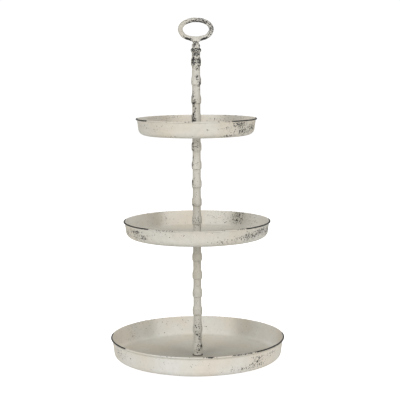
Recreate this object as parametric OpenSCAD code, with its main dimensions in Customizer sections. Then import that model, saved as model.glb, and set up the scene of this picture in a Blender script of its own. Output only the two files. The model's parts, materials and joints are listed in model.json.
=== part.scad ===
// Three-tier tray stand: pressed steel trays with wired rims, clamped between
// cast stem sections that screw together, and a ring handle on top.
// Millimetres, +Z up, origin on the surface that the stand rests on, on the stem's axis.

/* [Trays] */
// Outer diameter of the bottom tray over its rim
bottom_d = 360; // [280:1:430]
// Outer diameter of the middle tray over its rim
middle_d = 302; // [230:1:360]
// Outer diameter of the top tray over its rim
top_d = 247; // [180:1:300]
// Height of the bottom tray from its underside to the top of its rim
bottom_h = 43; // [30:0.5:60]
// Height of the middle tray
middle_h = 33.5; // [26:0.5:50]
// Height of the top tray
top_h = 34; // [26:0.5:50]
// Thickness of the tray steel
sheet = 0.8; // [0.6:0.1:1.5]
// Outer radius of the bend between floor and wall
bend_r = 13.5; // [8:0.5:18]
// Lean of the tray walls from upright, in degrees
wall_lean = 7; // [0:0.5:10]
// Diameter of the wire that the rim is curled over
rim_wire_d = 1.5; // [1.5:0.1:4]

/* [Stem] */
// Diameter of the stem between its knots
stem_d = 17; // [14:0.5:24]
// Diameter of the knots
knot_d = 20.6; // [19:0.2:30]
// Length of a knot along the stem
knot_len = 18; // [10:0.5:22]
// Length of the shoulder under a knot
knot_lower = 1.5; // [0.5:0.5:4]
// Length of the shoulder over a knot
knot_upper = 3; // [0.5:0.5:5]
// Distance from one knot to the next
knot_pitch = 37.8; // [28:0.2:50]
// Length of the lower stem section
lower_len = 248.8; // [180:0.2:320]
// Length of the middle stem section
middle_len = 206.6; // [150:0.2:280]
// Length of the upper stem section
upper_len = 164.2; // [110:0.2:230]
// Height of the first knot's middle above the lower section's foot
lower_first = 18.3; // [12:0.1:30]
// Height of the first knot's middle above the foot of the middle and upper sections
first_knot = 32.6; // [12:0.1:40]

/* [Screw joints] */
// Thread diameter of the studs and the base screw
thread_d = 6; // [5:0.5:8]
// Length of thread that engages, which is the lift of a full unscrewing
thread_run = 10; // [6:1:14]
// Length of stud that is fixed in the piece above
stud_set = 12; // [8:1:14]
// Depth left free beyond the end of a thread
bore_spare = 2; // [1:0.5:4]

/* [Washers] */
// Outer diameter of the fibre washers on either side of a tray
tray_washer_d = 22; // [22:1:32]
// Thickness of the fibre washers
tray_washer_t = 1; // [0.5:0.1:2]
// Outer diameter of the steel washer under the base
base_washer_d = 18; // [14:1:24]
// Thickness of the steel washer
base_washer_t = 1.6; // [1:0.1:2]
// Outer diameter of the spring washer
lock_washer_d = 11.8; // [10:0.1:13]
// Thickness of the spring washer
lock_washer_t = 1.5; // [1:0.1:2]
// Width of the split in the spring washer
lock_split = 0.8; // [0.4:0.1:1.5]
// Diameter of the base screw's head
screw_head_d = 12; // [11:0.5:14]
// Height of the base screw's head
screw_head_h = 3.2; // [2.5:0.1:4]
// Width of the driver slot across the head
slot_w = 1.6; // [1:0.1:2]
// Depth of the driver slot
slot_depth = 1.8; // [1:0.1:2]
// Room kept between the screw head and the surface below
ground_gap = 0.7; // [0.5:0.1:3]

/* [Feet] */
// Diameter of a rubber pad where it meets the tray
pad_d = 18; // [12:1:26]
// Diameter of a rubber pad where it meets the surface
pad_foot_d = 15; // [10:1:22]
// Distance of the pads' middles inside the edge of the tray's flat floor
pad_inset = 30; // [15:1:60]

/* [Handle] */
// Outer width of the ring
ring_w = 72.5; // [60:0.5:100]
// Outer height of the ring
ring_h = 47; // [42:0.2:60]
// Thickness of the ring's rod
ring_rod = 9.4; // [7:0.2:12]
// Radius of the ring's ends along the middle of its rod
ring_end_r = 14; // [11:0.5:16]
// Diameter of the neck under the ring
neck_d = 12.6; // [11:0.2:16]
// Length of the neck below the ring
neck_len = 6; // [4:0.5:12]
// Diameter of the handle's foot
foot_d = 16.8; // [14:0.2:24]
// Height of the handle's foot
foot_h = 8.2; // [5:0.1:12]
// Diameter of the collar bead under the handle
collar_d = 21.5; // [19:0.5:30]
// Height of the collar bead
collar_h = 9; // [5:0.1:12]

/* [Hidden] */
$fn = 96;
// Radial clearance of a stud in its bore, and of the wire in its curl
run_gap = 0.05;
// Radial clearance of a stud in a tray's hole
hole_gap = 0.3;
// Overlap that lets a cut run out past a face
cut = 1;
// Opening left between the rim's curl and the wall, in degrees round the wire
curl_open = 35;
// Amount by which the top of the neck is narrower than the ring's rod
neck_taper = 1;
// Step between two stretches that meet smoothly, and the length by which they lap
knit = 0.01;
lap = 0.3;

paint = "#D6D1C6";
paint_worn = "#C6C0B2";
fibre = "#3A3733";
zinc = "#A9ABAB";
rubber = "#232323";

thread_r = thread_d / 2;
bore_r = thread_r + run_gap;
stem_r = stem_d / 2;
knot_r = knot_d / 2;

// Rim curl, and its middle's distance from the bend's middle across the wall
curl_r = rim_wire_d / 2 + run_gap + sheet;
reach = bend_r + curl_r - sheet;

// Heights of the stack, from the surface upwards
pad_h = base_washer_t + lock_washer_t + screw_head_h + ground_gap;
bottom_z = pad_h;
lower_z = bottom_z + sheet + tray_washer_t;
lower_top = lower_z + lower_len;
middle_tray_z = lower_top + tray_washer_t;
middle_z = middle_tray_z + sheet + tray_washer_t;
middle_top = middle_z + middle_len;
top_tray_z = middle_top + tray_washer_t;
upper_z = top_tray_z + sheet + tray_washer_t;
upper_top = upper_z + upper_len;
foot_z = upper_top + collar_h;
neck_z = foot_z + foot_h;
ring_z = neck_z + neck_len + ring_h / 2;

// Middle line of the ring's rod: a four-centre oval with tight ends and flatter sides
ring_a = (ring_w - ring_rod) / 2;
ring_b = (ring_h - ring_rod) / 2;
ring_end_x = ring_a - ring_end_r;
ring_side_r = (ring_end_x ^ 2 + ring_b ^ 2 - ring_end_r ^ 2) / (2 * (ring_b - ring_end_r));
ring_side_z = ring_side_r - ring_b;
ring_turn = atan2(ring_side_z, ring_end_x);

// Length of a tray's wall along its lean, and radius of its flat floor
function wall_len(h) = (h - curl_r - bend_r + reach * sin(wall_lean)) / cos(wall_lean);
function flat_r(d, h) = d / 2 - curl_r - reach * cos(wall_lean) - wall_len(h) * sin(wall_lean);
// Number of knots on a section, whose top stays bare for at least a knot's length
function knots(len, first) = floor((len - first - knot_len) / knot_pitch) + 1;
// Outline of one knot, from its lower shoulder to its upper one
function knot_points(z) = [
    [stem_r, z - knot_len / 2],
    [knot_r, z - knot_len / 2 + knot_lower],
    [knot_r, z + knot_len / 2 - knot_upper],
    [stem_r, z + knot_len / 2]
];

// Band between two circles, a hair thinner than the sheet so that the ends of its arc
// lie inside the straight stretches that it joins
module sheet_band(r) {
    difference() {
        circle(r = r - knit);
        circle(r = r - sheet + knit);
    }
}

// Section of a tray to the right of its axis. In the turned frame X points out through
// the wall and Y runs up it, from the middle of the bend.
module tray_section(d, h) {
    square([flat_r(d, h) + lap, sheet]);
    translate([flat_r(d, h), bend_r])
        rotate(-wall_lean) {
            intersection() {
                sheet_band(bend_r);
                polygon(2 * bend_r * [[0, 0], [1, 0], [1, -1], [sin(wall_lean), -cos(wall_lean)]]);
            }
            translate([bend_r - sheet, -lap])
                square([sheet, wall_len(h) + 2 * lap]);
            translate([reach, wall_len(h)])
                difference() {
                    sheet_band(curl_r);
                    polygon(2 * curl_r * [[0, 0], [-1, 0], [-cos(curl_open), -sin(curl_open)]]);
                }
        }
}

// Pressed tray with a curled rim, on its underside at z = 0
module tray(d, h) {
    color(paint)
        difference() {
            rotate_extrude() tray_section(d, h);
            translate([0, 0, -cut])
                cylinder(r = thread_r + hole_gap, h = sheet + 2 * cut);
        }
}

// Wire inside a tray's rim
module rim_wire(d, h) {
    color(zinc)
        translate([0, 0, h - curl_r])
            rotate_extrude()
                translate([d / 2 - curl_r, 0])
                    circle(d = rim_wire_d);
}

// Flat ring round a stud
module washer(d, t, tint) {
    color(tint)
        difference() {
            cylinder(d = d, h = t);
            translate([0, 0, -cut])
                cylinder(r = bore_r, h = t + 2 * cut);
        }
}

// Cast stem section with knots, bored for a stud or screw at each end
module stem(len, first, foot_bore, top_bore) {
    count = knots(len, first);
    color(paint_worn)
        difference() {
            rotate_extrude()
                polygon([
                    [0, 0], [stem_r, 0],
                    for (i = [0:count - 1]) each knot_points(first + i * knot_pitch),
                    [stem_r, len], [0, len]
                ]);
            translate([0, 0, -cut])
                cylinder(r = bore_r, h = foot_bore + cut);
            translate([0, 0, len - top_bore])
                cylinder(r = bore_r, h = top_bore + cut);
        }
}

// Threaded stud, set in the piece above and run into the tapped piece below
module stud(through) {
    color(zinc)
        translate([0, 0, -through - thread_run])
            cylinder(r = thread_r, h = stud_set + through + thread_run);
}

// Stretch of the ring's rod, from angle a0 to a1 about the middle [x, z] in the ring's plane
module rod_arc(x, z, r, a0, a1) {
    translate([x, 0, z])
        rotate([90, 0, 0])
            rotate_extrude(start = a0, angle = a1 - a0)
                translate([r, 0])
                    circle(d = ring_rod);
}

// Oval ring in the XZ plane: two tight ends, two flatter sides, and a thin band that
// knits each pair of arcs together where they meet
module ring() {
    for (side = [0, 1])
        mirror([side, 0, 0])
            rod_arc(ring_end_x, 0, ring_end_r, -ring_turn, ring_turn);
    for (side = [0, 1])
        mirror([0, 0, side]) {
            rod_arc(0, -ring_side_z, ring_side_r, ring_turn, 180 - ring_turn);
            for (end = [0, 1])
                mirror([end, 0, 0])
                    translate([ring_end_x, 0, 0])
                        rotate([0, -ring_turn, 0])
                            translate([ring_end_r, 0, 0])
                                cylinder(d = ring_rod + 2 * knit, h = lap, center = true);
        }
}

module bottom_tray() {
    translate([0, 0, bottom_z]) tray(bottom_d, bottom_h);
}

module bottom_rim_wire() {
    translate([0, 0, bottom_z]) rim_wire(bottom_d, bottom_h);
}

// Rubber pads stand on the diagonals of the base
module rubber_pad(i) {
    color(rubber)
        rotate([0, 0, 90 * i + 45])
            translate([flat_r(bottom_d, bottom_h) - pad_inset, 0, 0])
                cylinder(d1 = pad_foot_d, d2 = pad_d, h = pad_h);
}

module base_screw() {
    color(zinc)
        difference() {
            union() {
                translate([0, 0, ground_gap])
                    cylinder(d = screw_head_d, h = screw_head_h);
                translate([0, 0, ground_gap + screw_head_h])
                    cylinder(r = thread_r, h = lower_z + stud_set - ground_gap - screw_head_h);
            }
            translate([-screw_head_d, -slot_w / 2, ground_gap - cut])
                cube([2 * screw_head_d, slot_w, slot_depth + cut]);
        }
}

module base_lock_washer() {
    translate([0, 0, ground_gap + screw_head_h])
        difference() {
            washer(lock_washer_d, lock_washer_t, zinc);
            translate([0, -lock_split / 2, -cut])
                cube([lock_washer_d, lock_split, lock_washer_t + 2 * cut]);
        }
}

module base_washer() {
    translate([0, 0, bottom_z - base_washer_t])
        washer(base_washer_d, base_washer_t, zinc);
}

module bottom_tray_washer() {
    translate([0, 0, bottom_z + sheet])
        washer(tray_washer_d, tray_washer_t, fibre);
}

module lower_stem() {
    translate([0, 0, lower_z])
        stem(lower_len, lower_first, stud_set + bore_spare, thread_run + bore_spare);
}

module middle_seat_washer() {
    translate([0, 0, lower_top])
        washer(tray_washer_d, tray_washer_t, fibre);
}

module middle_tray() {
    translate([0, 0, middle_tray_z]) tray(middle_d, middle_h);
}

module middle_rim_wire() {
    translate([0, 0, middle_tray_z]) rim_wire(middle_d, middle_h);
}

module middle_clamp_washer() {
    translate([0, 0, middle_z - tray_washer_t])
        washer(tray_washer_d, tray_washer_t, fibre);
}

module middle_stud() {
    translate([0, 0, middle_z]) stud(middle_z - lower_top);
}

module middle_stem() {
    translate([0, 0, middle_z])
        stem(middle_len, first_knot, stud_set, thread_run + bore_spare);
}

module top_seat_washer() {
    translate([0, 0, middle_top])
        washer(tray_washer_d, tray_washer_t, fibre);
}

module top_tray() {
    translate([0, 0, top_tray_z]) tray(top_d, top_h);
}

module top_rim_wire() {
    translate([0, 0, top_tray_z]) rim_wire(top_d, top_h);
}

module top_clamp_washer() {
    translate([0, 0, upper_z - tray_washer_t])
        washer(tray_washer_d, tray_washer_t, fibre);
}

module upper_stud() {
    translate([0, 0, upper_z]) stud(upper_z - middle_top);
}

module upper_stem() {
    translate([0, 0, upper_z])
        stem(upper_len, first_knot, stud_set, thread_run + bore_spare);
}

// Collar bead with a rounded edge, between the upper stem and the handle
module handle_collar() {
    color(paint_worn)
        translate([0, 0, upper_top])
            difference() {
                rotate_extrude() {
                    square([collar_d / 2 - collar_h / 2, collar_h]);
                    intersection() {
                        translate([collar_d / 2 - collar_h / 2, collar_h / 2])
                            circle(d = collar_h);
                        square([collar_d, collar_h]);
                    }
                }
                translate([0, 0, -cut])
                    cylinder(r = bore_r, h = collar_h + 2 * cut);
            }
}

module handle_stud() {
    translate([0, 0, foot_z]) stud(collar_h);
}

// Cast ring with its neck and foot, bored for the stud
module ring_handle() {
    color(paint_worn)
        difference() {
            union() {
                translate([0, 0, foot_z])
                    cylinder(d = foot_d, h = foot_h);
                translate([0, 0, neck_z])
                    cylinder(d1 = neck_d, d2 = ring_rod - neck_taper, h = neck_len + ring_rod / 2);
                translate([0, 0, ring_z])
                    ring();
            }
            translate([0, 0, foot_z - cut])
                cylinder(r = bore_r, h = stud_set + cut);
        }
}

bottom_tray();
bottom_rim_wire();
rubber_pad(0);  // rubber_pad_1
rubber_pad(1);  // rubber_pad_2
rubber_pad(2);  // rubber_pad_3
rubber_pad(3);  // rubber_pad_4
base_screw();
base_lock_washer();
base_washer();
bottom_tray_washer();
lower_stem();
middle_seat_washer();
middle_tray();
middle_rim_wire();
middle_clamp_washer();
middle_stud();
middle_stem();
top_seat_washer();
top_tray();
top_rim_wire();
top_clamp_washer();
upper_stud();
upper_stem();
handle_collar();
handle_stud();
ring_handle();
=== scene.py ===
# %% [markdown]
# # A tiered cake stand in worn chalk paint
# Three pressed steel trays hang on a cast, knotted stem under a ring handle. The CAD frame
# holds every size and every joint. This lesson makes the finish: each cell models one kind
# of piece with the tools of edit mode, lays it where the frame says, and paints it.

# %% Load the frame
import json
import math

import bpy
from mathutils import Matrix, Vector

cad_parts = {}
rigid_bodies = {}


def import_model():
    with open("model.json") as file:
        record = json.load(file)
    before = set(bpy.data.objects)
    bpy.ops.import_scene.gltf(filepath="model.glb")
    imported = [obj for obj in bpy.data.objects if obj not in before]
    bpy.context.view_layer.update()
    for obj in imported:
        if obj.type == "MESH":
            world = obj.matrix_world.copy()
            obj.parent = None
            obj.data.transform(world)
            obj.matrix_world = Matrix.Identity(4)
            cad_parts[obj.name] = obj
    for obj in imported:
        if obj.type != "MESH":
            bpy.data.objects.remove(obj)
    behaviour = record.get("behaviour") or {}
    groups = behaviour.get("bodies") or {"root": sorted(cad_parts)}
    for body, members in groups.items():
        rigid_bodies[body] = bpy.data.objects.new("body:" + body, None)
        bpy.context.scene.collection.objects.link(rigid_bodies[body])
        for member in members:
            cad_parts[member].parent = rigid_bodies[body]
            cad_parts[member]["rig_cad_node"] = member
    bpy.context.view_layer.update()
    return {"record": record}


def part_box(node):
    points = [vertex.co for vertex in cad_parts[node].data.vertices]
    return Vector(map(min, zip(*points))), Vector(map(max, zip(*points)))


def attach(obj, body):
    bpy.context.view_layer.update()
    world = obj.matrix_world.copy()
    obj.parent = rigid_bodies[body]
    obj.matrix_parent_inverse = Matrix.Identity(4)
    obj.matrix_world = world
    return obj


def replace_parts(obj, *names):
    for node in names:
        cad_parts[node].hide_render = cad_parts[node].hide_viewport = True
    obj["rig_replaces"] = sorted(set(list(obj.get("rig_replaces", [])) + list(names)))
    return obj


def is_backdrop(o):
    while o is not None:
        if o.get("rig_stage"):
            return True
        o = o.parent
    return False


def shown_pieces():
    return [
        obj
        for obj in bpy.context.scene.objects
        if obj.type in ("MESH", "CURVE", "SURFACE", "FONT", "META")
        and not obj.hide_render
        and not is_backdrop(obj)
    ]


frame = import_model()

MM = 0.001
body_of = {node: body for body, nodes in frame["record"]["behaviour"]["bodies"].items() for node in nodes}
slot_of = {row["node"]: row["material_slot"] for row in frame["record"]["subparts"]}

# %% [markdown]
# ## Small helpers
# An operator works on whatever is selected, so every step first clears the selection and then
# picks its own points. Places are compared in millimetres, because that is how a turner or a
# tinsmith would say them.

# %% Select and finish
def only(obj):
    if bpy.context.object and bpy.context.object.mode != "OBJECT":
        bpy.ops.object.mode_set(mode="OBJECT")
    bpy.ops.object.select_all(action="DESELECT")
    obj.select_set(True)
    bpy.context.view_layer.objects.active = obj


def pick(obj, test):
    """Edit mode, with just the points that pass the test selected."""
    only(obj)
    bpy.ops.object.mode_set(mode="EDIT")
    bpy.ops.mesh.select_mode(type="VERT")
    bpy.ops.mesh.select_all(action="DESELECT")
    bpy.ops.object.mode_set(mode="OBJECT")
    for vertex in obj.data.vertices:
        vertex.select = bool(test(vertex.co / MM))
    bpy.ops.object.mode_set(mode="EDIT")


def apply(obj, kind, **settings):
    """Adds a modifier with these settings and applies it."""
    only(obj)
    modifier = obj.modifiers.new(kind.lower(), kind)
    for name, value in settings.items():
        setattr(modifier, name, value)
    bpy.ops.object.modifier_apply(modifier=modifier.name)


def face_out(obj):
    """Merges doubled points and turns the faces outwards."""
    pick(obj, lambda p: True)
    bpy.ops.mesh.remove_doubles(threshold=0.005 * MM)
    bpy.ops.mesh.normals_make_consistent(inside=False)
    bpy.ops.object.mode_set(mode="OBJECT")


def tidy_mesh(obj, smooth_angle=40):
    """Faces out, and the soft edges shaded smooth."""
    face_out(obj)
    bpy.ops.object.shade_smooth_by_angle(angle=math.radians(smooth_angle))


def place(obj, *nodes):
    """The piece stands for these CAD nodes and rides on their body; their slot gives it its finish later on.
    """
    only(obj)
    bpy.ops.object.transform_apply(location=True, rotation=True, scale=True)
    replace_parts(obj, *nodes)
    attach(obj, body_of[nodes[0]])
    print(f"{obj.name}: {len(obj.data.polygons)} faces on {body_of[nodes[0]]}")


def uneven(obj, size, depth, weight, lift=0.5):
    """Cloudy lumps of this size and depth in millimetres, along the normals.

    The weight is 0 to 1 at each point."""
    group = obj.vertex_groups.new(name="uneven")
    for vertex in obj.data.vertices:
        group.add([vertex.index], weight(vertex.co / MM), "REPLACE")
    clouds = bpy.data.textures.new(obj.name + "_clouds", "CLOUDS")
    clouds.noise_scale = size * MM
    apply(obj, "DISPLACE", texture=clouds, texture_coords="LOCAL", strength=depth * MM, mid_level=lift,
          vertex_group=group.name)
    obj.vertex_groups.clear()


def ease(value, start, end):
    """0 before start, 1 after end, and a smooth step between."""
    t = min(1, max(0, (value - start) / (end - start)))
    return t * t * (3 - 2 * t)


def low(node):
    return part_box(node)[0] / MM


def high(node):
    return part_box(node)[1] / MM


# %% [markdown]
# ## Turning a round piece
# Stem, washers, collar and trays are all round about the stand's axis. The Spin tool and the
# Screw modifier can both turn an outline, but growing one circle ring by ring is closer to
# throwing a pot: extrude the open edge, move it up, scale it in or out. It gives even quads
# and needs no seam to close.

# %% Turn an outline
def turn(name, outline, steps, caps=True):
    """Grows rings from a circle. The outline is a list of (radius, height) in millimetres."""
    (first_radius, first_height), *rest = outline
    bpy.ops.object.select_all(action="DESELECT")
    bpy.ops.mesh.primitive_circle_add(
        vertices=steps, radius=first_radius * MM, location=(0, 0, first_height * MM))
    obj = bpy.context.object
    obj.name = obj.data.name = name
    bpy.ops.object.transform_apply(location=True)
    pick(obj, lambda p: True)
    if caps:
        bpy.ops.mesh.edge_face_add()
        bpy.ops.mesh.duplicate()
        # The copy's face is dropped again, so that only its edge grows on.
        bpy.ops.mesh.delete(type="ONLY_FACE")
        bpy.ops.object.mode_set(mode="OBJECT")
        for vertex in obj.data.vertices:
            vertex.select = vertex.index >= steps
        bpy.ops.object.mode_set(mode="EDIT")
    radius, height = first_radius, first_height
    for next_radius, next_height in rest:
        rise = (0, 0, (next_height - height) * MM)
        bpy.ops.mesh.extrude_edges_move(TRANSFORM_OT_translate={"value": rise})
        ratio = next_radius / radius
        bpy.ops.transform.resize(value=(ratio, ratio, 1), center_override=(0, 0, next_height * MM))
        radius, height = next_radius, next_height
    if caps:
        bpy.ops.mesh.edge_face_add()
    bpy.ops.object.mode_set(mode="OBJECT")
    return obj


def arc(x, y, radius, start, end, steps):
    """Points on an arc, by angles in degrees."""
    angles = [math.radians(start + (end - start) * i / steps) for i in range(steps + 1)]
    return [(x + radius * math.cos(a), y + radius * math.sin(a)) for a in angles]


# %% [markdown]
# ## Pressed trays
# A real tray starts as a flat disc. A press draws the wall up, and a second tool curls the
# edge outwards over a wire, which makes the rim stiff and safe to hold. So the mesh is made
# the same way: one sheet along its middle line, given its thickness at the end by Solidify,
# with the curl left open where the real one stops short of the wall.

# %% Tray sizes that the frame does not state by itself
SHEET = 0.8
WIRE = 0.8
CURL = WIRE + SHEET
BEND = 13.5
LEAN = math.radians(7)
CURL_OPEN = 35
HOLE = 3.3
TRAY_STEPS = 192
# Where the flat floor has rings, as shares of its way out from the hole
FLOOR_RINGS = (0, 0.03, 0.06, 0.1, 0.2, 0.35, 0.5, 0.65, 0.8, 0.92)


def tray_outline(radius, height):
    """Middle line of the sheet from the hole to the end of the curl, and the flat floor's radius."""
    reach = BEND + WIRE
    wall = (height - CURL - BEND + reach * math.sin(LEAN)) / math.cos(LEAN)
    flat = radius - CURL - reach * math.cos(LEAN) - wall * math.sin(LEAN)
    lean = math.degrees(LEAN)
    outline = [(HOLE + (flat - HOLE) * t, SHEET / 2) for t in FLOOR_RINGS]
    outline += arc(flat, BEND, BEND - SHEET / 2, -90, -lean, 8)
    foot = Vector(outline[-1])
    up = Vector((math.sin(LEAN), math.cos(LEAN)))
    outline += [tuple(foot + up * wall * t) for t in (0.2, 0.4, 0.6, 0.8, 0.93)]
    outline += arc(radius - CURL, height - CURL, WIRE + SHEET / 2, 180 - lean, CURL_OPEN - 180 - lean, 18)
    return outline, flat


# %% Press the three trays
trays = {}
for name in ("bottom_tray", "middle_tray", "top_tray"):
    floor, rim = low(name), high(name)
    outline, flat = tray_outline(rim.x, rim.z - floor.z)
    tray = turn(name + "_pressed", [(r, floor.z + z) for r, z in outline], TRAY_STEPS, caps=False)
    face_out(tray)
    # Pressed sheet is never quite true: soft dents, fading out at the hole and the rim. They
    # only go up and in, so the tray keeps its flat seat and its outer size.
    uneven(tray, 45, 0.5, lambda p: (
        ease(math.hypot(p.x, p.y), 25, 60) * (1 - ease(p.z, rim.z - 12, rim.z - 5))), 0)
    apply(tray, "SOLIDIFY", thickness=SHEET * MM, offset=0, use_even_offset=True, use_rim=True)
    tidy_mesh(tray)
    place(tray, name)
    trays[name] = (tray, flat)


# %% [markdown]
# ## Cast stem sections
# The stem imitates cane: a slim shaft with a knot every few centimetres. Each knot is a
# short barrel with a soft shoulder over it and a sharper lip below, where paint wears
# first. The sections are hollow at both ends for the studs, so the outline starts at the
# bottom of one bore and ends at the bottom of the other.

# %% Cast the stem
BORE = 3.05
SHAFT = 8.45
KNOT_PITCH = 37.8
KNOT_LENGTH = 18
STUD_SET = 12.0
THREAD_RUN = 10.0
STEM_STEPS = 64
# (radius, height above the knot's lip) up the side of one knot
KNOT_SIDE = [(8.4, -1.8), (8.3, -0.9), (8.5, -0.2), (9.3, 0.3), (9.85, 1.0), (10.1, 2.1), (10.2, 4.0),
             (10.25, 7.0), (10.2, 10.5), (10.05, 13.0), (9.6, 14.9), (9.0, 16.4), (8.6, 17.6), (SHAFT, 19.0)]
stems = {"lower_stem": 18.3, "middle_stem": 32.6, "upper_stem": 32.6}
lips = {}
for name, first_knot in stems.items():
    foot, head = low(name).z, high(name).z
    foot_bore = foot + STUD_SET
    head_bore = head - THREAD_RUN - 2
    lips[name] = []
    lip = foot + first_knot - KNOT_LENGTH / 2
    while lip + 1.5 * KNOT_LENGTH < head:
        lips[name].append(lip)
        lip += KNOT_PITCH
    outline = [(BORE, foot_bore), (BORE, foot + 0.6), (BORE + 0.6, foot), (SHAFT - 0.5, foot),
               (SHAFT + 0.1, foot + 0.6), (SHAFT, foot + 2.5)]
    for lip in lips[name]:
        rest = outline[-1][1]
        gap = lip + KNOT_SIDE[0][1] - rest
        outline += [(SHAFT - 0.15, rest + gap * t) for t in (0.25, 0.5, 0.75)] if gap > 4 else []
        outline += [(r, lip + h) for r, h in KNOT_SIDE]
    rest = outline[-1][1]
    outline += [(SHAFT - 0.1, rest + (head - rest) * t) for t in (0.3, 0.6)]
    outline += [(SHAFT, head - 0.8), (SHAFT - 0.6, head), (BORE + 0.6, head), (BORE, head - 0.6),
                (BORE, head_bore)]
    stem = turn(name + "_cast", outline, STEM_STEPS)
    # A sand casting is a little lumpy, but the bores and end faces stay true.
    face_out(stem)
    uneven(stem, 7, 0.5, lambda p: float(math.hypot(p.x, p.y) > BORE + 2 and foot + 1 < p.z < head - 1))
    tidy_mesh(stem)
    place(stem, name)


# %% [markdown]
# ## The ring handle
# The ring, its neck and its foot are one casting. A torus squashed upright and then fattened
# gives the ring: squashing thins the rod at top and bottom, and fattening puts the same
# amount back all round, so the rod ends a little stouter at the sides, as the real one is.
# A turned neck is joined to it by a Boolean, and a fine voxel remesh melts the two together
# with the soft fillet that a casting has.

# %% Cast the ring
RING_WIDTH = 72.3
RING_HEIGHT = 46.7
ROD_SIDE = 9.6
ROD_TOP = 9.3
foot_z = low("ring_handle").z
ring_top = high("ring_handle").z - 0.15
ring_middle = ring_top - RING_HEIGHT / 2
half_wide = (RING_WIDTH - ROD_SIDE) / 2
half_high = (RING_HEIGHT - ROD_TOP) / 2
squash = half_high / half_wide
thin = (ROD_SIDE - ROD_TOP) / 2 / (1 - squash)
bpy.ops.object.select_all(action="DESELECT")
bpy.ops.mesh.primitive_torus_add(
    major_segments=128, minor_segments=32, major_radius=half_wide * MM, minor_radius=thin * MM,
    location=(0, 0, ring_middle * MM), rotation=(math.pi / 2, 0, 0))
ring = bpy.context.object
ring.name = ring.data.name = "ring_handle_cast"
bpy.ops.object.transform_apply(location=True, rotation=True)
pick(ring, lambda p: True)
bpy.ops.transform.resize(value=(1, 1, squash), center_override=(0, 0, ring_middle * MM))
bpy.ops.transform.shrink_fatten(value=(ROD_SIDE / 2 - thin) * MM)
bpy.ops.object.mode_set(mode="OBJECT")
print("ring", [round(x / MM, 2) for x in ring.dimensions])

# %% Give the ring fuller lower shoulders
for near, far in ((11, 33), (17, 31)):
    pick(ring, lambda p: near < abs(p.x) < far and p.z < ring_middle - 7)
    bpy.ops.transform.translate(value=(0, 0, -0.5 * MM))
bpy.ops.object.mode_set(mode="OBJECT")

# %% Turn the neck and foot, and melt them into the ring
neck_side = [(7.8, 0), (8.35, 0.7), (8.35, 7.2), (7.9, 8.0), (6.9, 8.5), (6.2, 9.4), (6.05, 10.8),
             (6.4, 12.2), (9.0, 13.7), (13.5, 15.3), (18, 16.9), (12, 18.8)]
neck = turn("neck", [(radius, foot_z + height) for radius, height in neck_side], 64)
# The flare follows the arms, so it is wide along the ring and only as deep as the rod.
for height, share in ((13, 0.6), (14.5, 0.6), (16, 0.72)):
    pick(neck, lambda p: p.z > foot_z + height)
    bpy.ops.transform.resize(value=(1, share, 1), center_override=(0, 0, (foot_z + height) * MM))
bpy.ops.object.mode_set(mode="OBJECT")
tidy_mesh(neck)
apply(ring, "BOOLEAN", operation="UNION", object=neck, solver="EXACT")
bpy.data.objects.remove(neck)
apply(ring, "REMESH", mode="VOXEL", voxel_size=0.45 * MM, use_smooth_shade=True)
apply(ring, "SMOOTH", factor=0.5, iterations=10)
uneven(ring, 6, 0.5, lambda p: ease(p.z, foot_z + 1.5, foot_z + 4))
drill = turn("drill", [(BORE, foot_z - 1), (BORE, foot_z + STUD_SET)], 48)
tidy_mesh(drill)
apply(ring, "BOOLEAN", operation="DIFFERENCE", object=drill, solver="EXACT")
bpy.data.objects.remove(drill)
tidy_mesh(ring, 50)
place(ring, "ring_handle")

# %% Collar bead
base, head = low("handle_collar").z, high("handle_collar").z
half = (head - base) / 2
edge = high("handle_collar").x
BEAD_ROUND = 5.3
bead = [(BORE, head), (BORE, base), (8.3, base)]
bead += arc(edge - BEAD_ROUND, base + half, BEAD_ROUND, -54, 54, 12)
bead += [(8.3, head), (BORE, head)]
collar = turn("handle_collar_cast", bead, STEM_STEPS, caps=False)
tidy_mesh(collar)
place(collar, "handle_collar")


# %% [markdown]
# ## Studs, screw and washers
# These show only when the stand is taken apart or turned over, but they are what holds it
# together. A thread is a turned rod with eight rings to a turn of the helix: each point
# sinks to the root or stays on the crest, so the rod stays closed and its ends stay flat.

# %% Thread a rod
CREST = 2.96
ROOT = 2.42
PITCH = 1.0
# Half the width of a crest and the width of a flank, as shares of the pitch
CREST_HALF = 0.06
FLANK = 0.31


def threaded_rod(name, low_z, high_z, head=()):
    """A closed rod with a thread, and a head below it if one is given."""
    rows = round((high_z - low_z) / (PITCH / 8))
    heights = [low_z + (high_z - low_z) * k / rows for k in range(rows + 1)]
    rod = turn(name, [*head, *((CREST, height) for height in heights)], 32)
    for vertex in rod.data.vertices:
        x, y, z = vertex.co / MM
        if math.hypot(x, y) > CREST + 0.1:
            continue
        phase = (z / PITCH - math.atan2(y, x) / math.tau) % 1
        crest = 1 - min(1, max(0, (abs(phase - 0.5) - CREST_HALF) / FLANK))
        if z < low_z + 0.01 or z > high_z - 0.01:
            crest = 0
        share = (ROOT + (CREST - ROOT) * crest) / CREST
        vertex.co = Vector((x * share, y * share, z)) * MM
    return rod


for name in ("middle_stud", "upper_stud", "handle_stud"):
    rod = threaded_rod(name + "_threaded", low(name).z, high(name).z)
    tidy_mesh(rod, 25)
    place(rod, name)

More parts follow.
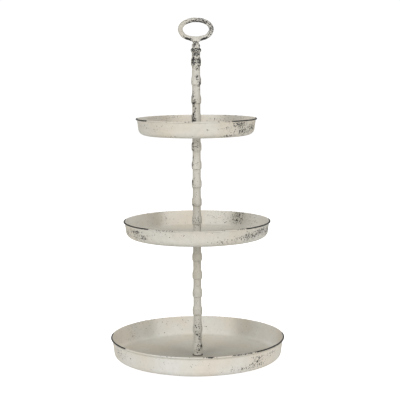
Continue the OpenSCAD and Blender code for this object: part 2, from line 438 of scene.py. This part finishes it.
# %% Base screw with a slotted pan head
head_low = low("base_screw").z
HEAD_HEIGHT = 3.2
head_outline = [
    (4.6, head_low + 0.02), (5.4, head_low + 0.35), (5.85, head_low + 1.1), (6.0, head_low + 2.2),
    (5.9, head_low + HEAD_HEIGHT)]
screw = threaded_rod("base_screw_slotted", head_low + HEAD_HEIGHT, high("base_screw").z, head_outline)
face_out(screw)
bpy.ops.mesh.primitive_cube_add(size=MM, location=(0, 0, head_low * MM), scale=(16, 1.6, 3.6))
slot_cutter = bpy.context.object
apply(screw, "BOOLEAN", operation="DIFFERENCE", object=slot_cutter, solver="EXACT")
bpy.data.objects.remove(slot_cutter)
tidy_mesh(screw, 25)
place(screw, "base_screw")


# %% Washers with broken edges
def washer(name, hole, broken):
    base, head = low(name), high(name)
    edge = head.x
    ring_outline = [
        (hole, base.z + broken), (hole + broken, base.z), (edge - broken, base.z), (edge, base.z + broken),
        (edge, head.z - broken), (edge - broken, head.z), (hole + broken, head.z), (hole, head.z - broken),
        (hole, base.z + broken)]
    return turn(name + "_punched", ring_outline, 72, caps=False)


for name in ("bottom_tray_washer", "middle_seat_washer", "middle_clamp_washer", "top_seat_washer",
             "top_clamp_washer", "base_washer"):
    disc = washer(name, BORE, 0.15)
    tidy_mesh(disc)
    place(disc, name)
coil = washer("base_lock_washer", BORE + 0.1, 0.1)
tidy_mesh(coil)
bpy.ops.mesh.primitive_cube_add(size=MM, location=(4.5 * MM, 0, (low("base_lock_washer").z + 0.75) * MM),
                                rotation=(math.radians(25), 0, 0), scale=(6, 0.8, 6))
saw = bpy.context.object
apply(coil, "BOOLEAN", operation="DIFFERENCE", object=saw, solver="EXACT")
bpy.data.objects.remove(saw)
tidy_mesh(coil, 30)
place(coil, "base_lock_washer")

# %% Rubber pads
for i in range(1, 5):
    name = f"rubber_pad_{i}"
    corner, top = low(name), high(name)
    middle = (corner + top) / 2
    pad = turn(name + "_moulded", [
        (4.6, corner.z + 0.6), (5.4, corner.z + 0.3), (6.4, corner.z), (7.0, corner.z),
        (7.45, corner.z + 0.25), (7.75, corner.z + 1.0), (8.7, corner.z + 5.2), (9.0, top.z - 0.9),
        (9.0, top.z)], 48)
    pick(pad, lambda p: True)
    bpy.ops.transform.translate(value=(middle.x * MM, middle.y * MM, 0))
    bpy.ops.object.mode_set(mode="OBJECT")
    tidy_mesh(pad, 50)
    place(pad, name)

# %% [markdown]
# ## Where the paint has worn, and where shade is painted
# Wear is not even. Hands, plates and cloths rub the rims, the ring and the knots, and knocks
# chip the side that faces out. Three numbers are kept at each point of a painted piece: how
# far the edge has rubbed through, how thickly the chips lie, and how much painted shade, with a little dust
# on the tray floors, darkens the coat.
# Directions are in degrees round the stand, 0 at the front and positive to the right.

# %% Keep the wear in the mesh
def mark(obj, name, amount):
    """Stores the amount at each point, from its place in millimetres and its direction in degrees."""
    layer = obj.data.attributes.new(name, "FLOAT", "POINT")
    for vertex in obj.data.vertices:
        spot = vertex.co / MM
        layer.data[vertex.index].value = amount(spot, math.degrees(math.atan2(spot.x, -spot.y)))


def outer_side(obj):
    """1 at each point that faces out or down, 0 at one that faces in or up, by its place."""
    side = {}
    for vertex in obj.data.vertices:
        away = Vector((vertex.co.x, vertex.co.y, 0)).normalized()
        side[tuple(vertex.co / MM)] = float(vertex.normal.dot(away) - 0.3 * vertex.normal.z > 0.1)
    return side


def between(value, start, end, soft):
    """1 from start to end, fading to 0 over a soft margin on both sides."""
    return ease(value, start - soft, start + soft) * (1 - ease(value, end - soft, end + soft))


def spread(value, middle, width):
    return math.exp(-((value - middle) / width) ** 2)


# %% Wear and painted shade on the trays
# (start, end, strength), in degrees
rubbed_rim = {
    "top_tray": [(-97, -52, 1.0), (34, 97, 1.0), (26, 34, 0.55), (-29, -27, 0.7), (-12, -2, 0.52),
                 (19, 22, 0.6)],
    "middle_tray": [(-97, -39, 1.0), (40, 97, 1.0), (30, 40, 0.5), (19, 21, 0.7), (-34, -12, 0.42)],
    "bottom_tray": [(-97, -53, 1.0), (40, 97, 1.0), (21, 40, 0.58), (5, 10.5, 0.8), (-9.5, -8, 0.7),
                    (-30, 20, 0.3)],
}
# (direction, height over the underside, width in degrees, spread in height, strength)
chipped_wall = {
    "top_tray": [(47, 25, 14, 8, 0.86), (52, 12, 18, 10, 0.8), (34, 4, 11, 3, 0.88), (30, 20, 8, 7, 0.55),
                 (68, 16, 12, 12, 0.82), (-50, 20, 22, 9, 0.38), (-27, 4, 18, 3, 0.45)],
    "middle_tray": [(60, 22, 12, 9, 0.88), (47, 16, 13, 9, 0.82), (36, 13, 9, 7, 0.62),
                    (74, 18, 11, 12, 0.86), (-57, 22, 10, 6, 0.88), (-50, 13, 13, 8, 0.8),
                    (-74, 14, 12, 9, 0.6), (20, 9, 9, 6, 0.55), (-18, 26, 20, 3, 0.4)],
    "bottom_tray": [(44, 27, 6, 8, 0.82), (41, 16, 8, 8, 0.82), (33, 12, 9, 7, 0.58), (56, 30, 9, 7, 0.5),
                    (-64, 26, 11, 11, 0.56), (-2.5, 22, 2, 4, 0.68), (24, 13, 3, 5, 0.76)],
}
# (direction, width in degrees, strength) on the inner wall
inner_chips = {
    "top_tray": [(150, 20, 0.36), (-150, 20, 0.28)],
    "middle_tray": [(143, 8, 0.66), (160, 12, 0.3), (126, 9, 0.35), (-150, 12, 0.15)],
    "bottom_tray": [(-160, 20, 0.12), (-128, 10, 0.2), (175, 8, 0.1)],
}
# Painted reflections: darker vertical bands on the inner wall, as (direction, width in degrees, strength).
inner_reflection_bands = {
    "top_tray": [(-150, 12, 0.4), (150, 12, 0.4)],
    "middle_tray": [(-143, 8, 1.0), (142, 9, 0.9)],
    "bottom_tray": [(-142, 6, 0.55), (145, 10, 0.75)],
}
# Painted shade on each tray's outer wall, stronger on the upper two.
outer_wall_shade = {"top_tray": 0.36, "middle_tray": 0.4, "bottom_tray": 0.1}
for name, (tray, flat) in trays.items():
    floor, rim = low(name), high(name)
    side = outer_side(tray)

    def outside(p):
        return side[tuple(p)]

    def rubbed(p, turned):
        around = max(k * between(turned, start, end, 2.0) for start, end, k in rubbed_rim[name])
        around = max(around, 0.44 * spread(abs(turned), 150, 35))
        bead = ease(p.z, rim.z - 2.7, rim.z - 2.0)
        return around * bead * max(outside(p), ease(p.z, rim.z - 1.0, rim.z - 0.4))

    def chipped(p, turned):
        up = p.z - floor.z
        wall = max(k * spread(turned, t, w) * spread(up, h, s) for t, h, w, s, k in chipped_wall[name])
        back = max(k * spread((turned - t + 180) % 360 - 180, 0, w) for t, w, k in inner_chips[name])
        return max(wall * outside(p), back * (1 - outside(p)) * ease(up, 4, 10))

    def shade_and_dust(p, turned):
        up = p.z - floor.z
        # Painted shade over the tray floor away from the hole, with a little dust in it.
        floor_shade_and_dust = 0.42 * (1 - ease(up, 1, 7)) * ease(math.hypot(p.x, p.y), 8, 14)
        # Painted reflections as darker bands round the inner wall, and a faint painted shade over the rest
        # of it.
        reflection_band = max(k * spread((turned - t + 180) % 360 - 180, 0, w) for t, w, k in inner_reflection_bands[name])
        inside_bands = max(0.05, 0.5 * reflection_band) * (1 - outside(p))
        # Painted shadow: a dark line on the outer wall just under the curled bead.
        bead_shadow = 0.8 * spread(p.z, rim.z - 3.6, 0.6) * outside(p)
        # Painted shade on the outer wall, darker again at the sides where it turns away.
        outer = (outer_wall_shade[name] + 0.15 * spread(abs(turned), 84, 12)) * outside(p)
        return max(floor_shade_and_dust * (1 - outside(p)), inside_bands, bead_shadow, outer)

    mark(tray, "rubbed", rubbed)
    mark(tray, "chipped", chipped)
    mark(tray, "shade_and_dust", shade_and_dust)
    print(name, "wear marked on", len(tray.data.vertices), "points")

# %% Wear and painted shade on the stem
# (height, spread in height, direction, width in degrees, strength)
chipped_stem = {
    "lower_stem": [(19, 6, 10, 30, 0.75), (30, 9, 48, 28, 0.95), (30, 6, 5, 20, 0.7),
                   (46, 8, 34, 28, 0.8), (56, 8, -10, 40, 0.55), (72, 9, 5, 50, 0.45),
                   (250, 7, -30, 90, 0.5)],
    "middle_stem": [(449, 5, -52, 30, 0.7), (445, 6, 15, 40, 0.5), (437, 4, -45, 35, 0.8),
                    (420, 6, -62, 25, 0.6), (408, 5, -62, 22, 0.95), (409, 3, 8, 12, 0.85),
                    (371, 7, -62, 20, 0.9), (378, 3, -35, 18, 0.7), (324, 3, -35, 35, 0.7),
                    (292, 12, 20, 90, 0.4)],
    "upper_stem": [(494, 13, -32, 40, 1.1), (508, 10, -34, 34, 0.95), (522, 8, -24, 28, 0.8),
                   (534, 8, -30, 34, 1.05), (547, 7, -55, 30, 0.85), (573, 11, 46, 28, 1.0),
                   (585, 6, 8, 20, 0.9), (604, 6, 14, 20, 0.9), (617, 13, -36, 38, 1.15),
                   (617, 13, 46, 34, 1.0), (617, 11, 0, 90, 0.7), (631, 8, 0, 180, 0.85)],
    "handle_collar": [(640, 9, -10, 180, 0.85)],
    "ring_handle": [(650, 6, -18, 36, 1.15), (649, 5, 60, 26, 0.9), (656, 7, 0, 120, 0.65)],
}
worn_lips = {"lower_stem": 0.42, "middle_stem": 0.5, "upper_stem": 0.52}
for name, patches in chipped_stem.items():
    piece = next(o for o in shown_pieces() if name in o.get("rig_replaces", []))
    edges = lips.get(name, [])

    def chipped(p, turned):
        return max(k * spread(p.z, z, s) * spread(turned, t, w) for z, s, t, w, k in patches)

    def rubbed(p, turned):
        lip = max((spread(p.z, edge + 0.4, 0.8) for edge in edges), default=0)
        return worn_lips.get(name, 0) * lip

    def shade_and_dust(p, turned):
        # Painted shadow in the groove under each knot's lip.
        lip_shadow = max((0.35 * spread(p.z, edge - 0.8, 1.1) for edge in edges), default=0)
        # Painted shade on the upper part of the lower stem, under the middle tray.
        shade = 0.45 * spread(p.z, 190, 70) if name == "lower_stem" else 0
        # The last term is painted shade down the right side.
        return max(lip_shadow, shade, 0.3 * spread(turned, 70, 30))

    mark(piece, "rubbed", rubbed)
    mark(piece, "chipped", chipped)
    mark(piece, "shade_and_dust", shade_and_dust)
    print(name, "wear marked on", len(piece.data.vertices), "points")

# %% Wear on the ring follows its curve, and painted shade darkens its left side
def ring_chips(p):
    """Fingers wear the inside of the top, the right side and the undersides of the arms."""
    across, up = p.x / half_wide, (p.z - ring_middle) / half_high
    reach = math.hypot(across, up)
    inner_top = 0.92 * ease(up, 0.35, 0.7) * (1 - ease(reach, 0.92, 1.08)) * ease(across, -0.8, -0.5)
    right = 0.78 * spread(across, 1.0, 0.5) * spread(up, 0.0, 1.1)
    upper_right = 0.76 * spread(across, 0.3, 0.9) * spread(up, 0.95, 0.4)
    under = 1.15 * spread(abs(across), 0.5, 0.32) * ease(-up, 0.55, 0.8) * ease(reach, 0.96, 1.08)
    return max(inner_top, right, upper_right, under)


for vertex, layer in zip(ring.data.vertices, ring.data.attributes["chipped"].data):
    above_neck = ease(vertex.co.z / MM, foot_z + 12, foot_z + 16)
    layer.value = max(layer.value, ring_chips(vertex.co / MM) * above_neck)
# Painted shade on the ring's left side.
for vertex, layer in zip(ring.data.vertices, ring.data.attributes["shade_and_dust"].data):
    layer.value = 0.35 * spread(vertex.co.x / MM, -half_wide, 9)
for vertex, layer in zip(ring.data.vertices, ring.data.attributes["rubbed"].data):
    layer.value = 0.5 * spread(vertex.co.z / MM, foot_z + 7.0, 1.2)
for vertex, layer in zip(collar.data.vertices, collar.data.attributes["rubbed"].data):
    layer.value = 0.55 * spread(vertex.co.z / MM, head - 1.8, 1.4)

# %% [markdown]
# ## Materials
# The paint is a chalk furniture paint, brushed over dark steel and cast iron, then rubbed
# back. Chalk gives no mirror at all: it is rough, a little darker where the brush left it
# thin, and grey-brown where shade is painted in, with a little dust on the tray floors.
# Where it has gone, the metal beneath is dark, harder and slightly shiny.

# %% Small node helpers
def linear(hex_colour):
    """A node colour from an sRGB hex value."""
    parts = [int(hex_colour[i:i + 2], 16) / 255 for i in (1, 3, 5)]
    return (*[c / 12.92 if c <= 0.04045 else ((c + 0.055) / 1.055) ** 2.4 for c in parts], 1.0)


def add(tree, kind, inputs=None, **settings):
    """Adds a node. An input is a value, or the output of another node."""
    made = tree.nodes.new(kind)
    for name, value in settings.items():
        setattr(made, name, value)
    for socket, value in (inputs or {}).items():
        if isinstance(value, bpy.types.NodeSocket):
            tree.links.new(value, made.inputs[socket])
        else:
            made.inputs[socket].default_value = value
    return made


def start_material(name):
    """An empty node tree with the piece's own coordinates, in metres."""
    material = bpy.data.materials.new(name)
    material.use_nodes = True
    tree = material.node_tree
    tree.nodes.clear()
    return material, tree, add(tree, "ShaderNodeTexCoord").outputs["Object"]


def per_mm(size):
    """Noise scale that gives features of this size in millimetres."""
    return 1000 / size


# %% Worn chalk paint
def worn_paint(name, light, warm, shade, bare_dark, bare_light, chip_size, hold):
    material, tree, place_in = start_material(name)

    def noise(size, detail=3.0, roughness=0.5):
        return add(tree, "ShaderNodeTexNoise", {
            "Vector": place_in, "Scale": per_mm(size), "Detail": detail, "Roughness": roughness}).outputs[0]

    def mix(amount, below, above):
        return add(tree, "ShaderNodeMix", {0: amount, 6: below, 7: above}, data_type="RGBA").outputs[2]

    def stretch(value, start, end, low_end=0.0, high_end=1.0):
        return add(tree, "ShaderNodeMapRange", {
            0: value, 1: start, 2: end, 3: low_end, 4: high_end}).outputs[0]

    def worked(operation, *values):
        return add(tree, "ShaderNodeMath", dict(enumerate(values)), operation=operation).outputs[0]

    def worn(layer):
        return add(tree, "ShaderNodeAttribute", attribute_name=layer).outputs["Fac"]

    # Broad cloudy tone where the coat is thicker or thinner, and a finer mottle of 9 mm.
    cloud, mottle = noise(90), noise(9, 5.0, 0.65)
    coat = mix(stretch(cloud, 0.38, 0.62), linear(light), linear(warm))
    coat = mix(stretch(mottle, 0.4, 0.75, 0.0, 0.4), coat, linear(shade))
    # Painted shade where it is marked, with a little dust on the tray floors: the coat goes olive grey, a
    # little unevenly.
    shade_and_dust_film = worked("MULTIPLY", worn("shade_and_dust"), stretch(mottle, 0.3, 0.7, 0.75, 1.0))
    coat = mix(shade_and_dust_film, coat, linear("#97927D"))
    # Chips: two sizes of flake added together, and more of them break through where the mark is strong.
    flakes = worked("ADD", noise(chip_size, 2.0, 0.55), noise(chip_size / 2, 2.0))
    likely = worked("MULTIPLY_ADD", worn("chipped"), 0.5, flakes)
    chipped_off = stretch(likely, hold, hold + 0.03)
    thinned = stretch(likely, hold - 0.06, hold, 0.0, 0.3)
    # Rubbed edges: the mark decides, and the flakes make the border ragged.
    ragged = worked("MULTIPLY_ADD", flakes, 0.9, worn("rubbed"))
    bare = worked("MAXIMUM", chipped_off, stretch(ragged, 1.38, 1.46))
    metal = mix(noise(4, 4.0), linear(bare_dark), linear(bare_light))
    colour = mix(bare, mix(thinned, coat, linear("#8A8578")), metal)
    # The coat stands a tenth of a millimetre proud of the metal, with a chalky grain.
    height = worked("MULTIPLY_ADD", bare, -1.0, noise(1.6, 4.0, 0.7))
    lumpy = worked("MULTIPLY_ADD", mottle, 1.5, height)
    bump = add(tree, "ShaderNodeBump", {"Strength": 0.6, "Distance": 0.1 * MM, "Height": lumpy})
    shader = add(tree, "ShaderNodeBsdfPrincipled", {
        "Base Color": colour, "Roughness": stretch(bare, 0.0, 1.0, 0.6, 0.45), "Metallic": 0.0,
        "Normal": bump.outputs[0]})
    add(tree, "ShaderNodeOutputMaterial", {"Surface": shader.outputs[0]})
    return material


# The last two values are the size of a flake in millimetres, and how well the coat holds.
tray_paint = worn_paint(
    "chalk_paint_on_pressed_steel", "#D7D5CF", "#D6CEC1", "#C8C5BB", "#12110F", "#2B2926", 4.0, 1.385)
stem_paint = worn_paint(
    "chalk_paint_on_cast_iron", "#C9C6BD", "#C2BDB2", "#B1ADA3", "#100F0E", "#292826", 3.4, 1.31)


# %% [markdown]
# ## Plain metals, fibre and rubber
# Zinc plate is a bluish grey with soft cloudy spangle. Drawn wire carries fine lines along its
# length. The washers are dark pressed fibre, and the pads moulded rubber: both matt, the fibre
# with a coarser grain.

# %% Zinc, wire, fibre and rubber
def plain_finish(name, dark, light, cloud_size, grain_size, grain_depth, roughness, metallic, spread_by=0.1):
    material, tree, place_in = start_material(name)
    cloud = add(tree, "ShaderNodeTexNoise", {
        "Vector": place_in, "Scale": per_mm(cloud_size), "Detail": 5.0})
    colour = add(tree, "ShaderNodeMix", {
        0: cloud.outputs[0], 6: linear(dark), 7: linear(light)}, data_type="RGBA")
    grain = add(tree, "ShaderNodeTexNoise", {
        "Vector": place_in, "Scale": per_mm(grain_size), "Detail": 3.0})
    rough = add(tree, "ShaderNodeMapRange", {
        "Value": grain.outputs[0], 3: roughness - spread_by, 4: roughness + spread_by})
    bump = add(tree, "ShaderNodeBump", {
        "Strength": 0.6, "Distance": grain_depth * MM, "Height": grain.outputs[0]})
    shader = add(tree, "ShaderNodeBsdfPrincipled", {
        "Base Color": colour.outputs[2], "Roughness": rough.outputs[0], "Metallic": metallic,
        "Normal": bump.outputs[0]})
    add(tree, "ShaderNodeOutputMaterial", {"Surface": shader.outputs[0]})
    return material


finishes = {
    "tray_paint": tray_paint,
    "stem_paint": stem_paint,
    "rim_wire_steel": plain_finish("drawn_steel_wire", "#4A4A48", "#6B6964", 12, 0.8, 0.02, 0.45, 1.0),
    "zinc_steel": plain_finish("zinc_plated_steel", "#8E9296", "#B4B8BB", 5, 0.9, 0.02, 0.36, 1.0),
    "dark_washer": plain_finish("pressed_fibre", "#4A463F", "#6A645A", 6, 0.7, 0.06, 0.82, 0.0),
    "rubber_pad": plain_finish("moulded_black_rubber", "#161616", "#242423", 8, 0.6, 0.04, 0.7, 0.0),
}
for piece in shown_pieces():
    node = piece.get("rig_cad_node") or piece["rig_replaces"][0]
    piece.data.materials.clear()
    piece.data.materials.append(finishes[slot_of[node]])

# %% [markdown]
# ## Camera, floor and light
# The stand was seen from a little above the middle tray, from far enough away that the trays
# are flat ellipses. A long lens does that. The floor is pale and the light comes from all
# round, so the paint shows its own colour and the shadows stay soft.

# %% Camera
LOOKS_DOWN = math.radians(7.39)
LEANS_OVER = math.radians(-0.32)
camera_data = bpy.data.cameras.new("camera")
camera_data.sensor_width = 36
camera_data.lens = 106.47
camera_data.clip_end = 100
camera = bpy.data.objects.new("camera", camera_data)
bpy.context.scene.collection.objects.link(camera)
tilt = Matrix.Rotation(math.pi / 2 - LOOKS_DOWN, 4, "X") @ Matrix.Rotation(LEANS_OVER, 4, "Z")
camera.matrix_world = Matrix.Translation((0.0065, -2.408, 0.646)) @ tilt
bpy.context.scene.camera = camera

# %% Floor
bpy.ops.object.select_all(action="DESELECT")
bpy.ops.mesh.primitive_plane_add(size=60, location=(0, 20, -0.0005))
studio_floor = bpy.context.object
studio_floor.name = studio_floor.data.name = "studio_floor"
studio_floor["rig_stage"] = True
# White acrylic that is lit from below, as on a shooting table, so shadows stay faint.
floor_sheet, floor_tree, floor_place = start_material("opal_acrylic_floor")
floor_cloud = add(floor_tree, "ShaderNodeTexNoise", {"Vector": floor_place, "Scale": 3.0})
floor_tone = add(floor_tree, "ShaderNodeMix", {
    0: floor_cloud.outputs[0], 6: linear("#C6C6C4"), 7: linear("#CACAC9")}, data_type="RGBA")
floor_seen = add(floor_tree, "ShaderNodeLightPath").outputs["Is Camera Ray"]
floor_glow = add(floor_tree, "ShaderNodeMapRange", {0: floor_seen, 3: 0.3, 4: 0.9})
floor_shader = add(floor_tree, "ShaderNodeBsdfPrincipled", {
    "Base Color": floor_tone.outputs[2], "Roughness": 0.9, "Emission Color": linear("#FFFFFF"),
    "Emission Strength": floor_glow.outputs[0]})
add(floor_tree, "ShaderNodeOutputMaterial", {"Surface": floor_shader.outputs[0]})
studio_floor.data.materials.append(floor_sheet)

# %% Light
scene = bpy.context.scene
scene.view_settings.view_transform = "Standard"
sky = bpy.data.worlds.new("studio_sky")
sky.use_nodes = True
backdrop = sky.node_tree.nodes["Background"]
backdrop.inputs["Color"].default_value = linear("#FFFFFF")
# The backdrop burns out to white, while the room around it lights the stand less strongly.
seen = add(sky.node_tree, "ShaderNodeLightPath").outputs["Is Camera Ray"]
level = add(sky.node_tree, "ShaderNodeMapRange", {0: seen, 3: 0.28, 4: 1.05})
sky.node_tree.links.new(level.outputs[0], backdrop.inputs["Strength"])
scene.world = sky


def softbox(name, place, size, power):
    """A big soft panel that faces the middle of the stand."""
    data = bpy.data.lights.new(name, "AREA")
    data.shape, data.size, data.energy = "DISK", size, power
    lamp = bpy.data.objects.new(name, data)
    scene.collection.objects.link(lamp)
    aim = (Vector((0, 0, 0.35)) - Vector(place)).to_track_quat("-Z", "Y").to_matrix().to_4x4()
    lamp.matrix_world = Matrix.Translation(place) @ aim


softbox("key_left", (-1.9, -2.2, 1.2), 1.6, 46)
softbox("fill_right", (2.0, -2.1, 1.05), 1.6, 42)
softbox("top", (0, 0.9, 2.9), 1.8, 34)
print("camera, floor and three lights are ready")
